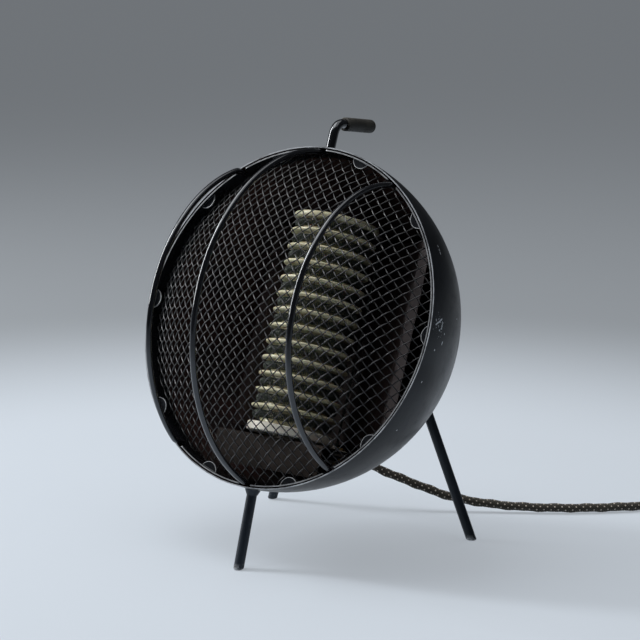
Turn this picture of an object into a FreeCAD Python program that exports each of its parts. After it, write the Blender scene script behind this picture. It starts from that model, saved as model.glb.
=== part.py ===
import FreeCAD, Part
import math
import os

# A bowl heater: a spun steel bowl on three rod legs leans back and holds a finned ceramic element,
# behind a domed wire mesh and three bent guard rods. Millimetres, +Z up, the open face towards -Y.
# The origin is on the table under the middle of the heater, without its cord.

V = FreeCAD.Vector

# Fits shared by all pieces, and the rise under which an arc counts as straight
fit_gap = 0.2
overrun = 3.0
straight_limit = 0.000001

# Bowl: a straight lip in front of a half ball
bowl_radius = 142.0
bowl_lip = 4.0
bowl_wall = 0.9
bowl_lean = 21.3
rim_height = 198.4

# Retaining ring inside the lip, with rounded tabs over the mesh
ring_wall = 1.0
ring_gap = 1.3
ring_setback = 0.4
tab_half_width = 8.0
tab_reach = 6.0
tab_setback = 2.4
tab_flank_angle = 16.5
notch_width = 6.4
notch_depth = 8.0
notch_corner = 4.0

# Mesh dome
mesh_pitch = 6.6
mesh_wire_size = 1.0
mesh_layer_gap = 0.6
mesh_edge_gap = 0.9
mesh_depth = 11.5
mesh_rise = 44.0
mesh_turn = 45.0

# Guard rods
rod_radius = 2.4
rod_spread_share = 0.539
rod_bend = 8.0
rod_end_depth = 6.0
middle_rise_share = 0.768
middle_bend_depth = 4.5
left_rise_share = 0.507
left_bend_depth = -2.0
right_rise_share = 0.627
right_bend_depth = 4.5

# Legs
leg_radius = 4.2
leg_chamfer = 0.8
weld_flare = 2.2
weld_height = 4.5
front_leg_setback = 13.0
front_foot_reach_share = 0.411
rear_foot_spread_share = 0.752
rear_foot_reach_share = 0.854
rear_seat_spread_share = 0.419
rear_seat_drop_share = 0.514

# Handle
handle_radius = 4.0
handle_setback = 13.6
handle_riser = 24.0
handle_bend = 11.0
handle_slope = 6.6
grip_radius = 5.7
grip_start = 11.6
grip_length = 39.2
grip_cap = 3.0
grip_round = 2.6
grip_edge = 0.8

# Finned ceramic core
element_depth_share = 0.3175
fin_radius_share = 0.2534
fin_pitch_share = 0.095
fin_count = 13
fin_thickness = 3.4
fin_bevel = 1.0
top_fin_extra = 1.8
base_height = 7.0
base_bottom_share = 0.6586
core_bore = 4.0
slot_half_width = 13.0

# Heating coil in the grooves
coil_radius = 3.5
coil_recess = 2.0
coil_climb_angle = 20.0
coil_climb_slope = 45.0
coil_sides = 6

# Bracket, tie rod and reflector
strap_width = 20.0
strap_wall = 1.5
strap_bend = 4.0
strap_end = 12.0
washer_radius = 9.0
washer_wall = 1.5
tie_radius = 3.0
tie_end = 3.0
nut_flats = 10.0
nut_height = 5.0
reflector_wall = 0.8
reflector_back_share = 0.704
reflector_edge_share = 0.493
reflector_half_width_share = 0.5
reflector_flange = 9.0
reflector_half_length_share = 0.619
bolt_head_radius = 6.0
bolt_head_height = 3.2
bolt_head_bevel = 1.4
spacer_radius = 6.0

# Terminal plate and terminals
plate_wall = 1.0
plate_half_width_share = 0.38
plate_front_share = 0.141
plate_margin = 5.0
plate_drop_share = 0.1834
plate_bend = 2.0
post_radius = 2.0
post_gap = 2.0
post_turn = 42.0
post_length = 17.0
post_head_radius = 4.0
post_head_height = 2.0
post_nut_height = 3.0
insulator_radius = 6.0
insulator_neck = 3.6
insulator_collar = 2.0
eyelet_radius = 7.5
eyelet_lap = 1.0
eyelet_wall = 1.2
stack_gap = 0.1
lead_radius = 1.0
lead_reach_share = 0.1830986
lead_bend = 5.0
lead_sides = 6
supply_radius = 1.5
supply_bend = 8.0
supply_split = 2.2
supply_start = 12.0
supply_turn_share = 0.6615

# Cord bushing at the back of the bowl
bushing_turn = -20.0
bushing_drop = 42.0
bushing_neck = 6.3
bushing_flange = 9.0
bushing_flange_wall = 3.0
bushing_sleeve = 14.0
bushing_tip = 6.0
bushing_inside = 9.0

# Cord: its route on the way to the coil, the coil and the plug
cord_radius = 4.0
cord_sides = 8
cord_arc_share = 0.45
cord_first_run = 22.0
cord_route = [(-46.0, 129.3, 58.5), (-33.0, 135.8, 43.5), (-11.0, 138.3, 34.8), (20.0, 152.0, 23.2),
              (46.5, 168.0, 11.8), (85.0, 192.0, 5.6), (127.1, 219.0, 4.4), (165.4, 253.0, 4.2),
              (200.0, 293.3, 4.1), (229.0, 320.3, 4.1)]
coil_turn_gap = 0.6
coil_layer_turns = 2.125
coil_mean_radius = 48.0
plug_tail = 52.0
plug_length = 30.0
plug_half_width = 13.0
plug_round = 5.0
blade_spread = 6.35
blade_width = 6.3
blade_wall = 1.5
blade_length = 17.0


# The bowl's own frame has X across, Y up along the open face and Z out of it, from the rim's centre.
# The middle rod's arc gives the heater's front and the half ball its back.
rod_reach = bowl_radius - bowl_wall - fit_gap - rod_radius
rod_spread = rod_spread_share * bowl_radius
middle_rise = middle_rise_share * bowl_radius


def arc_centre(reach, rise, bend_depth):
    """Place of a guard rod's main arc on the bowl's axis: the arc touches the small bends at its ends."""
    inner = rise - rod_bend
    side = reach - rod_bend
    return (inner ** 2 - side ** 2 - bend_depth ** 2) / (2 * (inner + bend_depth))


guard_centre = arc_centre(rod_reach, middle_rise, middle_bend_depth)
guard_radius = middle_rise - guard_centre
lean = math.radians(bowl_lean)
heater_front = -guard_centre * math.cos(lean) - guard_radius - rod_radius
heater_back = bowl_lip * math.cos(lean) + bowl_radius
rim_y = -(heater_front + heater_back) / 2
bowl_frame = FreeCAD.Placement(V(0, rim_y, rim_height), FreeCAD.Rotation(V(1, 0, 0), 90 - bowl_lean))


def in_bowl(shape):
    """Moves a shape from the bowl's own frame to the heater's frame."""
    placed = shape.copy()
    placed.Placement = bowl_frame.multiply(placed.Placement)
    return placed


def turned(shape, angle, axis=V(0, 0, 1)):
    """A copy turned about an axis through the origin."""
    copy = shape.copy()
    copy.rotate(V(0, 0, 0), axis, angle)
    return copy


def moved(shape, step):
    """A copy moved by a step."""
    copy = shape.copy()
    copy.translate(step)
    return copy


def line(start, end):
    return Part.LineSegment(start, end).toShape()


def arc(start, middle, end):
    return Part.Arc(start, middle, end).toShape()


def revolved(edges):
    """A closed outline in the XZ plane turned about Z."""
    return Part.Face(Part.Wire(edges)).revolve(V(0, 0, 0), V(0, 0, 1), 360)


def outline(points):
    """A closed outline of straight lines."""
    return [line(start, end) for start, end in zip(points, points[1:] + points[:1])]


def bent_path(points, radii):
    """Straight runs joined by tangent arcs, with one radius for each inner point."""
    edges = []
    start = points[0]
    for before, corner, after, radius in zip(points, points[1:], points[2:], radii):
        into = (corner - before).normalize()
        out = (after - corner).normalize()
        half_turn = into.getAngle(out) / 2
        reach = radius * math.tan(half_turn)
        bulge = radius / math.cos(half_turn) - radius
        middle = corner + (out - into).normalize() * bulge
        edges.append(line(start, corner - into * reach))
        edges.append(arc(corner - into * reach, middle, corner + out * reach))
        start = corner + out * reach
    edges.append(line(start, points[-1]))
    return edges


def round_section(radius, centre, axis):
    return Part.Wire(Part.makeCircle(radius, centre, axis))


def faceted_section(radius, sides, centre, axis):
    """A regular polygon on a circle, square to an axis."""
    turn = FreeCAD.Rotation(V(0, 0, 1), axis)
    corners = [V(radius * math.cos(2 * math.pi * k / sides), radius * math.sin(2 * math.pi * k / sides), 0)
               for k in range(sides)]
    corners = [centre + turn.multVec(corner) for corner in corners]
    return Part.makePolygon(corners + corners[:1])


def swept(edges, section):
    """A closed solid of one section along a path."""
    return Part.Wire(edges).makePipeShell([section], True, False)


def sheet(edges, wall, length):
    """A folded sheet: an open path thickened to one side by its wall, then drawn out along its length."""
    face = Part.Wire(edges).makeOffset2D(wall, 0, True, True, False)
    return face.extrude(length)


def hex_nut(flats, height, bore):
    """A hexagonal nut on Z, its lower face at the origin."""
    corners = [turned(Part.Vertex(V(flats / math.sqrt(3), 0, 0)), 60 * k).Point for k in range(6)]
    nut = Part.Face(Part.makePolygon(corners + corners[:1])).extrude(V(0, 0, height))
    return nut.cut(Part.makeCylinder(bore, height + 2 * overrun, V(0, 0, -overrun)))


def save(shape, name):
    shape.exportStep(os.path.join("parts", name + ".step"))


def bowl_body(radius):
    """The bowl's full outside, grown to a radius, as a cutting body."""
    return revolved([
        line(V(0, 0, 0), V(radius, 0, 0)),
        line(V(radius, 0, 0), V(radius, 0, -bowl_lip)),
        arc(V(radius, 0, -bowl_lip),
            V(radius * math.sqrt(0.5), 0, -bowl_lip - radius * math.sqrt(0.5)),
            V(0, 0, -bowl_lip - radius)),
        line(V(0, 0, -bowl_lip - radius), V(0, 0, 0)),
    ])


# The bushing's axis runs from the half ball's centre out through the low back of the bowl.
ball_centre = bowl_frame.multVec(V(0, 0, -bowl_lip))
bushing_axis = FreeCAD.Rotation(V(0, 0, 1), -bushing_turn).multVec(
    FreeCAD.Rotation(V(1, 0, 0), -bushing_drop).multVec(V(0, 1, 0)))
bushing_turned = FreeCAD.Rotation(V(0, 0, 1), bushing_axis)


def on_bushing(shape):
    """Moves a shape from Z to the bushing's axis, with its origin at the half ball's centre."""
    placed = shape.copy()
    placed.Placement = FreeCAD.Placement(ball_centre, bushing_turned).multiply(placed.Placement)
    return placed


def bowl_shell():
    """The spun bowl, with a hole at its pole for the centre bolt and one for the cord's bushing."""
    inner = bowl_radius - bowl_wall
    pole = -bowl_lip - bowl_radius
    slant = math.sqrt(0.5)
    bowl = revolved([
        line(V(inner, 0, 0), V(bowl_radius, 0, 0)),
        line(V(bowl_radius, 0, 0), V(bowl_radius, 0, -bowl_lip)),
        arc(V(bowl_radius, 0, -bowl_lip),
            V(bowl_radius * slant, 0, -bowl_lip - bowl_radius * slant), V(0, 0, pole)),
        line(V(0, 0, pole), V(0, 0, pole + bowl_wall)),
        arc(V(0, 0, pole + bowl_wall),
            V(inner * slant, 0, -bowl_lip - inner * slant), V(inner, 0, -bowl_lip)),
        line(V(inner, 0, -bowl_lip), V(inner, 0, 0)),
    ])
    bolt_hole = Part.makeCylinder(tie_radius + fit_gap, 2 * overrun, V(0, 0, pole - overrun))
    bushing_hole = Part.makeCylinder(bushing_neck + fit_gap, bowl_wall + 2 * overrun,
                                     V(0, 0, inner - overrun))
    return in_bowl(bowl.cut(bolt_hole)).cut(on_bushing(bushing_hole))


# The ring goes in until its back edge meets the narrowing bowl.
ring_outer = bowl_radius - bowl_wall - ring_gap
ring_inner = ring_outer - ring_wall
ring_back = -bowl_lip - math.sqrt((bowl_radius - bowl_wall) ** 2 - (ring_outer + fit_gap) ** 2)
side_angle = math.degrees(math.acos(rod_spread / rod_reach))


def notch():
    """The cut in the ring's front edge for one rod end, at angle zero: a round bottom and a flared mouth."""
    front = -ring_setback
    half = notch_width / 2
    slant = math.sqrt(0.5)
    bulge = notch_corner * (1 - slant)
    bottom = front - notch_depth
    mouth = half + notch_corner
    edges = [line(V(0, mouth, front + overrun), V(0, mouth, front))]
    edges.append(arc(V(0, mouth, front), V(0, half + bulge, front - bulge), V(0, half, front - notch_corner)))
    edges.append(line(V(0, half, front - notch_corner), V(0, half, bottom + half)))
    edges.append(arc(V(0, half, bottom + half), V(0, half * slant, bottom + half - half * slant), V(0, 0, bottom)))
    edges.append(line(V(0, 0, bottom), V(0, 0, front + overrun)))
    edges.append(line(V(0, 0, front + overrun), V(0, mouth, front + overrun)))
    half_notch = Part.Face(Part.Wire(edges)).extrude(V(ring_wall + 2 * overrun, 0, 0))
    other_half = half_notch.mirror(V(0, 0, 0), V(0, 1, 0))
    return moved(half_notch.fuse(other_half), V(ring_inner - overrun, 0, 0))


def tab():
    """One rounded tab at angle zero, bent inwards from the ring, its root within the ring's wall."""
    root = ring_inner + ring_wall / 2
    edges = [
        line(V(root, tab_half_width, 0), V(ring_inner, tab_half_width, 0)),
        arc(V(ring_inner, tab_half_width, 0), V(ring_inner - tab_reach, 0, 0), V(ring_inner, -tab_half_width, 0)),
        line(V(ring_inner, -tab_half_width, 0), V(root, -tab_half_width, 0)),
        line(V(root, -tab_half_width, 0), V(root, tab_half_width, 0)),
    ]
    plate = Part.Face(Part.Wire(edges)).extrude(V(0, 0, -ring_wall))
    return moved(plate, V(0, 0, -ring_setback - tab_setback))


def retaining_ring():
    """The ring inside the lip: notched at the six rod ends, with a tab on each side of the side rods."""
    front = -ring_setback
    ring = revolved(outline([V(ring_inner, 0, front), V(ring_outer, 0, front),
                             V(ring_outer, 0, ring_back), V(ring_inner, 0, ring_back)]))
    quarter = [side_angle - tab_flank_angle, side_angle + tab_flank_angle]
    tab_angles = [0, 180]
    for angle in quarter:
        tab_angles += [angle, 180 - angle, 180 + angle, -angle]
    rod_angles = [90, -90, side_angle, 180 - side_angle, 180 + side_angle, -side_angle]
    ring = ring.cut([turned(notch(), angle) for angle in rod_angles])
    return in_bowl(ring.fuse([turned(tab(), angle) for angle in tab_angles]))


mesh_reach = ring_inner - mesh_edge_gap
dome_radius = (mesh_reach ** 2 + mesh_rise ** 2) / (2 * mesh_rise)


def mesh_wire(offset, lower_face):
    """One square wire along X, bent to the dome at its offset from the middle of the mesh."""
    half_length = math.sqrt(mesh_reach ** 2 - offset ** 2)
    base = mesh_rise - dome_radius - mesh_depth + lower_face
    end = base + math.sqrt(dome_radius ** 2 - mesh_reach ** 2)
    crown = base + math.sqrt(dome_radius ** 2 - offset ** 2)
    top = V(0, 0, mesh_wire_size)
    side = offset - mesh_wire_size / 2
    left, middle, right = V(-half_length, side, end), V(0, side, crown), V(half_length, side, end)
    face = Part.Face(Part.Wire([
        arc(left, middle, right), line(right, right + top),
        arc(right + top, middle + top, left + top), line(left + top, left)]))
    return face.extrude(V(0, mesh_wire_size, 0))


def mesh_guard():
    """Two crossed sets of wires, one lying on the other, turned to stand on the diagonal."""
    count = int(mesh_reach / mesh_pitch)
    offsets = [k * mesh_pitch for k in range(-count, count + 1)]
    upper = [turned(mesh_wire(offset, mesh_layer_gap / 2), mesh_turn) for offset in offsets]
    lower_face = -mesh_layer_gap / 2 - mesh_wire_size
    lower = [turned(mesh_wire(offset, lower_face), -mesh_turn) for offset in offsets]
    return in_bowl(Part.makeCompound(upper + lower))


def guard_rod(spread, rise_share, bend_depth):
    """A round rod over the mesh, in a plane beside the axis: one large arc, bent at both ends into the lip."""
    reach = math.sqrt(rod_reach ** 2 - spread ** 2)
    rise = rise_share * bowl_radius
    centre = arc_centre(reach, rise, bend_depth)
    turn = math.atan2(reach - rod_bend, -bend_depth - centre)
    touch = V(spread, (rise - centre) * math.sin(turn), centre + (rise - centre) * math.cos(turn))
    half_turn = (turn + math.pi / 2) / 2
    bend_middle = V(spread, reach - rod_bend + rod_bend * math.sin(half_turn),
                    -bend_depth + rod_bend * math.cos(half_turn))
    bend_start = V(spread, reach, -bend_depth)
    end = V(spread, reach, -rod_end_depth)

    def low(place):
        return V(place.x, -place.y, place.z)

    edges = [line(end, bend_start), arc(bend_start, bend_middle, touch),
             arc(touch, V(spread, 0, rise), low(touch)),
             arc(low(touch), low(bend_middle), low(bend_start)), line(low(bend_start), low(end))]
    return in_bowl(swept(edges, round_section(rod_radius, end, V(0, 0, 1))))


def leg(foot, seat):
    """A rod from the table to its seat on the bowl, flared at the weld, shaped to the bowl and cut level."""
    axis = (seat - foot).normalize()
    rod_length = (seat - foot).Length + 2 * leg_radius
    rod = Part.makeCylinder(leg_radius, rod_length + 2 * leg_radius, foot - axis * 2 * leg_radius, axis)
    flare_length = weld_height + 2 * leg_radius
    flare_radius = leg_radius + weld_flare * flare_length / weld_height
    flare = Part.makeCone(leg_radius, flare_radius, flare_length, seat - axis * weld_height, axis)
    bowl = in_bowl(bowl_body(bowl_radius + fit_gap))
    room = 4 * leg_radius
    ground = Part.makeBox(2 * room, 2 * room, room, V(foot.x - room, foot.y - room, -room))
    shaped = rod.fuse(flare).cut([bowl, ground]).removeSplitter()
    level = [edge for edge in shaped.Edges if edge.BoundBox.ZMax < leg_chamfer / 2]
    return shaped.makeChamfer(leg_chamfer, level)


def front_leg():
    """The front leg, welded under the lip."""
    seat = bowl_frame.multVec(V(0, -bowl_radius, -front_leg_setback))
    return leg(V(0, rim_y - front_foot_reach_share * bowl_radius, 0), seat)


def rear_leg(side):
    """A rear leg, splayed outwards from its weld on the low back of the bowl."""
    seat_x = rear_seat_spread_share * bowl_radius
    seat_z = rim_height - rear_seat_drop_share * bowl_radius
    across = math.sqrt(bowl_radius ** 2 - seat_x ** 2 - (seat_z - ball_centre.z) ** 2)
    seat = V(side * seat_x, ball_centre.y + across, seat_z)
    foot_x = rear_foot_spread_share * bowl_radius
    return leg(V(side * foot_x, rim_y + rear_foot_reach_share * bowl_radius, 0), seat)


riser_axis = bowl_frame.Rotation.multVec(V(0, 1, 0))
handle_base = bowl_frame.multVec(V(0, bowl_radius, -handle_setback))
handle_corner = handle_base + riser_axis * handle_riser
slope = math.radians(handle_slope)
grip_axis = V(0, math.cos(slope), -math.sin(slope))


def handle_rod():
    """The bent rod: it rises square to the lip and turns back over the bowl."""
    start = handle_base - riser_axis * overrun
    end = handle_corner + grip_axis * (grip_start + grip_length - grip_cap - fit_gap)
    edges = bent_path([start, handle_corner, end], [handle_bend])
    rod = swept(edges, round_section(handle_radius, start, riser_axis))
    return rod.cut(in_bowl(bowl_body(bowl_radius + fit_gap)))


def handle_grip():
    """A closed sleeve pushed over the rod's end, rounded at its free end."""
    start = handle_corner + grip_axis * grip_start
    grip = Part.makeCylinder(grip_radius, grip_length)
    ends = [edge for edge in grip.Edges if len(edge.Vertexes) == 1]
    free = [edge for edge in ends if edge.BoundBox.ZMin > grip_length / 2]
    near = [edge for edge in ends if edge.BoundBox.ZMax < grip_length / 2]
    grip = grip.makeFillet(grip_round, free).makeChamfer(grip_edge, near[:1])
    bore = Part.makeCylinder(handle_radius + fit_gap, grip_length - grip_cap + overrun, V(0, 0, -overrun))
    grip = grip.cut(bore)
    grip.Placement = FreeCAD.Placement(start, FreeCAD.Rotation(V(0, 0, 1), grip_axis))
    return grip


# The element stands along the bowl frame's Y, on an axis behind the rim; its sizes follow the bowl.
element_depth = element_depth_share * bowl_radius
fin_radius = fin_radius_share * bowl_radius
fin_pitch = fin_pitch_share * bowl_radius
base_bottom = base_bottom_share * bowl_radius
element_frame = FreeCAD.Placement(V(0, 0, -element_depth), FreeCAD.Rotation(V(1, 0, 0), -90))
base_top = base_height - base_bottom
element_top = base_top + fin_count * fin_pitch + fin_thickness / 2 + top_fin_extra / 2
coil_mean = fin_radius - coil_recess - coil_radius
core_radius = coil_mean - coil_radius - fit_gap


def on_element(shape):
    """Moves a shape from the element's frame, with Z along its axis and Y to the back, into place."""
    placed = shape.copy()
    placed.Placement = element_frame.multiply(placed.Placement)
    return in_bowl(placed)


def ceramic_core():
    """The glazed core: a base band, bevelled fins at one pitch and a slot down the back for the coil."""
    points = [V(core_bore, 0, -base_bottom), V(fin_radius, 0, -base_bottom), V(fin_radius, 0, base_top)]
    for k in range(1, fin_count + 1):
        half = (fin_thickness + (top_fin_extra if k == fin_count else 0)) / 2
        middle = base_top + k * fin_pitch
        start = middle - fin_pitch + fin_thickness / 2 if k > 1 else base_top
        points += [V(core_radius, 0, start), V(core_radius, 0, middle - half),
                   V(fin_radius - fin_bevel, 0, middle - half), V(fin_radius, 0, middle - half + fin_bevel),
                   V(fin_radius, 0, middle + half - fin_bevel), V(fin_radius - fin_bevel, 0, middle + half)]
    points.append(V(core_bore, 0, middle + half))
    core = revolved(outline(points))
    slot_top = base_top + (fin_count - 0.5) * fin_pitch
    slot = Part.makeBox(2 * slot_half_width, fin_radius, slot_top + base_bottom + overrun,
                        V(-slot_half_width, 0, -base_bottom - overrun))
    slot = slot.cut(Part.makeCylinder(core_radius, slot_top + base_bottom + 2 * overrun,
                                      V(0, 0, -base_bottom - overrun)))
    return on_element(core.cut(slot))


def biarc(start, start_way, end, end_way):
    """Two arcs that leave a point along one direction, meet smoothly and arrive along another."""
    chord = end - start
    ways = start_way + end_way
    along = chord.dot(ways)
    spread = 2 * (1 - start_way.dot(end_way))
    if spread < straight_limit ** 2:
        reach = chord.dot(chord) / (4 * chord.dot(end_way))
    else:
        reach = (math.sqrt(along ** 2 + spread * chord.dot(chord)) - along) / spread
    first = start + start_way * reach
    last = end - end_way * reach
    joint = (first + last) * 0.5
    edges = []
    for near, corner, far in ((start, first, joint), (joint, last, end)):
        half_chord = (far - near).Length / 2
        middle = (near + far) * 0.5
        rise = corner - middle
        if rise.Length < straight_limit:
            edges.append(line(near, far))
        else:
            sagitta = half_chord * math.tan(math.acos(min(1.0, half_chord / reach)) / 2)
            edges.append(arc(near, middle + rise.normalize() * sagitta, far))
    return edges


def wound_path(stations):
    """A smooth path of biarcs through places that each have a direction."""
    edges = []
    for (start, start_way), (end, end_way) in zip(stations, stations[1:]):
        edges += biarc(start, start_way, end, end_way)
    return edges


def print_gap(name, stations_at, steps, skip, diameter):
    """Prints the least gap of a winding to itself, measured on points of its middle line."""
    points = [stations_at(k / steps) for k in range(steps + 1)]
    least = min((points[i] - points[j]).Length for i in range(0, steps + 1) for j in range(i + skip, steps + 1))
    print(name, "least gap to itself", round(least - diameter, 2))


def coil_point(angle, level):
    """A place on the heating coil's middle line; angle zero is at the back of the core."""
    return V(coil_mean * math.sin(angle), coil_mean * math.cos(angle), level)


def coil_way(angle, slope_angle):
    """The coil's direction of travel at an angle, climbing by a slope."""
    flat = math.cos(slope_angle)
    return V(flat * math.cos(angle), -flat * math.sin(angle), math.sin(slope_angle))


coil_start_angle = math.radians(coil_climb_angle)
coil_loops = fin_count


def coil_level(loop):
    """The height of one groove's middle on the element's axis."""
    return base_top + (loop + 0.5) * fin_pitch


def heating_coil():
    """The wound coil: one turn in each groove, climbing to the next groove in the slot at the back."""
    stations = []
    tail = 2 * coil_radius
    quarter = (2 * math.pi - 2 * coil_start_angle) / 4
    for loop in range(coil_loops):
        level = coil_level(loop)
        if loop > 0:
            climb = math.radians(coil_climb_slope)
            stations.append((coil_point(0, level - fin_pitch / 2), coil_way(0, climb)))
        for k in range(5):
            angle = coil_start_angle + k * quarter
            stations.append((coil_point(angle, level), coil_way(angle, 0)))
    first, first_way = stations[0]
    last, last_way = stations[-1]
    edges = [line(first - first_way * tail, first)] + wound_path(stations) + [line(last, last + last_way * tail)]
    section = faceted_section(coil_radius, coil_sides, first - first_way * tail, first_way)
    coil = swept(edges, section)

    def along(share):
        turn = share * coil_loops
        loop = min(int(turn), coil_loops - 1)
        return coil_point(coil_start_angle + (turn - loop) * 4 * quarter, coil_level(loop))

    print_gap("heating coil", along, 40 * coil_loops, 20, 2 * coil_radius)
    return on_element(coil)


def coil_end(side):
    """The end of the coil's straight tail at the bottom (side 1) or the top (side -1), and its way out."""
    loop = 0 if side > 0 else coil_loops - 1
    way = coil_way(side * coil_start_angle, 0) * -side
    return coil_point(side * coil_start_angle, coil_level(loop)) + way * 2 * coil_radius, way


arm_inner = base_bottom + washer_wall
arm_outer = arm_inner + strap_wall
top_arm_inner = element_top + washer_wall
top_arm_outer = top_arm_inner + strap_wall
plate_top = -arm_outer
plate_bottom = plate_top - plate_wall
reflector_back = reflector_back_share * bowl_radius
strap_front = reflector_back + reflector_wall + fit_gap - element_depth


def element_washers():
    """Mica washers between the core's ends and the bracket's arms."""
    ring = Part.makeCylinder(washer_radius, washer_wall).cut(
        Part.makeCylinder(tie_radius + fit_gap, washer_wall + 2 * overrun, V(0, 0, -overrun)))
    return on_element(Part.makeCompound([moved(ring, V(0, 0, -arm_inner)), moved(ring, V(0, 0, element_top))]))


def element_bracket():
    """A strap bent to a C: its arms hold the tie rod and its back carries the reflector."""
    back = strap_front + strap_wall
    points = [V(0, -strap_end, -arm_outer), V(0, back, -arm_outer),
              V(0, back, top_arm_outer), V(0, -strap_end, top_arm_outer)]
    edges = bent_path(points, [strap_bend, strap_bend])
    strap = moved(sheet(edges, -strap_wall, V(strap_width, 0, 0)), V(-strap_width / 2, 0, 0))
    tie_hole = Part.makeCylinder(tie_radius + fit_gap, arm_outer + top_arm_outer + 2 * overrun,
                                 V(0, 0, -arm_outer - overrun))
    bolt_hole = Part.makeCylinder(tie_radius + fit_gap, strap_wall + 2 * overrun,
                                  V(0, strap_front - overrun, 0), V(0, 1, 0))
    return on_element(strap.cut([tie_hole, bolt_hole]))


def tie_rod():
    """The threaded rod through the core, clamped at both arms."""
    bottom = plate_bottom - nut_height - tie_end
    top = top_arm_outer + nut_height + tie_end
    return on_element(Part.makeCylinder(tie_radius, top - bottom, V(0, 0, bottom)))


def tie_nuts():
    """The two nuts of the tie rod, under the terminal plate and over the upper arm."""
    nut = hex_nut(nut_flats, nut_height, tie_radius + fit_gap)
    return on_element(Part.makeCompound([moved(nut, V(0, 0, plate_bottom - nut_height)),
                                         moved(nut, V(0, 0, top_arm_outer))]))


def reflector():
    """A polished trough behind the element, with a flat flange along each side."""
    edge = reflector_edge_share * bowl_radius - element_depth
    back = reflector_back - element_depth
    side = reflector_half_width_share * bowl_radius
    tip = side + reflector_flange
    edges = [line(V(-tip, edge, 0), V(-side, edge, 0)),
             arc(V(-side, edge, 0), V(0, back, 0), V(side, edge, 0)),
             line(V(side, edge, 0), V(tip, edge, 0))]
    half_length = reflector_half_length_share * bowl_radius
    trough = moved(sheet(edges, -reflector_wall, V(0, 0, 2 * half_length)), V(0, 0, -half_length))
    bolt_hole = Part.makeCylinder(tie_radius + fit_gap, 2 * overrun, V(0, back - overrun, 0), V(0, 1, 0))
    return on_element(trough.cut(bolt_hole))


bolt_seat = bowl_lip + bowl_radius + fit_gap
spacer_front = element_depth + strap_front + strap_wall
nut_back = reflector_back - fit_gap


def centre_spacer():
    """The tube that stands the bracket off the bowl's pole."""
    back = bowl_lip + bowl_radius - bowl_wall - fit_gap
    tube = Part.makeCylinder(spacer_radius, back - spacer_front, V(0, 0, -back))
    return in_bowl(tube.cut(Part.makeCylinder(tie_radius + fit_gap, back, V(0, 0, -back - overrun))))


def centre_bolt():
    """The bolt through the bowl's pole, with a bevelled head outside."""
    head = Part.makeCylinder(bolt_head_radius, bolt_head_height, V(0, 0, -bolt_seat - bolt_head_height))
    outer = [edge for edge in head.Edges if edge.BoundBox.ZMax < -bolt_seat - bolt_head_height / 2]
    head = head.makeChamfer(bolt_head_bevel, [edge for edge in outer if len(edge.Vertexes) == 1])
    shank = Part.makeCylinder(tie_radius, bolt_seat - nut_back + nut_height + tie_end / 2, V(0, 0, -bolt_seat))
    return in_bowl(head.fuse(shank).removeSplitter())


def centre_nut():
    """The nut that clamps reflector, bracket and spacer to the bowl."""
    return in_bowl(moved(hex_nut(nut_flats, nut_height, tie_radius + fit_gap), V(0, 0, -nut_back)))


post_ring = fin_radius + insulator_radius + post_gap
post_spread = post_ring * math.cos(math.radians(post_turn))
post_behind = post_ring * math.sin(math.radians(post_turn))


def terminal_plate():
    """The plate under the element, folded down in front into an apron."""
    front = plate_front_share * bowl_radius - element_depth
    back = post_behind + insulator_radius + plate_margin
    drop = plate_drop_share * bowl_radius
    half_width = plate_half_width_share * bowl_radius
    points = [V(0, back, plate_bottom), V(0, front, plate_bottom), V(0, front, plate_bottom - drop)]
    edges = bent_path(points, [plate_bend])
    plate = moved(sheet(edges, plate_wall, V(2 * half_width, 0, 0)), V(-half_width, 0, 0))
    holes = [Part.makeCylinder(tie_radius + fit_gap, 2 * overrun, V(0, 0, plate_bottom - overrun))]
    for side in (-1, 1):
        holes.append(Part.makeCylinder(insulator_neck + fit_gap, 2 * overrun,
                                       V(side * post_spread, post_behind, plate_bottom - overrun)))
    return on_element(plate.cut(holes))


def at_posts(shape):
    """A pair of copies of a shape on Z, one at each terminal post."""
    return Part.makeCompound([moved(shape, V(side * post_spread, post_behind, 0)) for side in (-1, 1)])


insulator_bottom = plate_bottom - stack_gap - insulator_collar
first_eyelet = insulator_bottom - stack_gap - eyelet_wall
first_nut = first_eyelet - stack_gap - post_nut_height
second_eyelet = first_nut - stack_gap - eyelet_wall
second_nut = second_eyelet - stack_gap - post_nut_height


def terminal_insulators():
    """Ceramic bushings that carry the posts through the plate, in two collared halves as one piece."""
    lower = Part.makeCylinder(insulator_radius, insulator_collar, V(0, 0, insulator_bottom))
    neck = Part.makeCylinder(insulator_neck, plate_wall + 2 * stack_gap, V(0, 0, plate_bottom - stack_gap))
    upper = Part.makeCylinder(insulator_radius, insulator_collar, V(0, 0, plate_top + stack_gap))
    bore = Part.makeCylinder(post_radius + fit_gap, 2 * fin_radius, V(0, 0, insulator_bottom - fin_radius))
    return on_element(at_posts(lower.fuse([neck, upper]).cut(bore).removeSplitter()))


def terminal_posts():
    """Brass screws that hang from the insulators, with their heads on top."""
    seat = plate_top + stack_gap + insulator_collar + stack_gap
    head = Part.makeCylinder(post_head_radius, post_head_height, V(0, 0, seat))
    shank = Part.makeCylinder(post_radius, post_length, V(0, 0, seat - post_length))
    return on_element(at_posts(head.fuse(shank).removeSplitter()))


def terminal_nuts():
    """Two nuts on each post, one over each eyelet."""
    nut = hex_nut(2 * post_head_radius, post_nut_height, post_radius + fit_gap)
    pair = Part.makeCompound([moved(nut, V(0, 0, first_nut)), moved(nut, V(0, 0, second_nut))])
    return on_element(at_posts(pair))


def eyelet(side, level):
    """A flat ring on a post that ends a lead."""
    place = V(side * post_spread, post_behind, level)
    ring = Part.makeCylinder(eyelet_radius, eyelet_wall, place)
    return ring.cut(Part.makeCylinder(post_radius + fit_gap, eyelet_wall + 2 * overrun, place - V(0, 0, overrun)))


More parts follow.
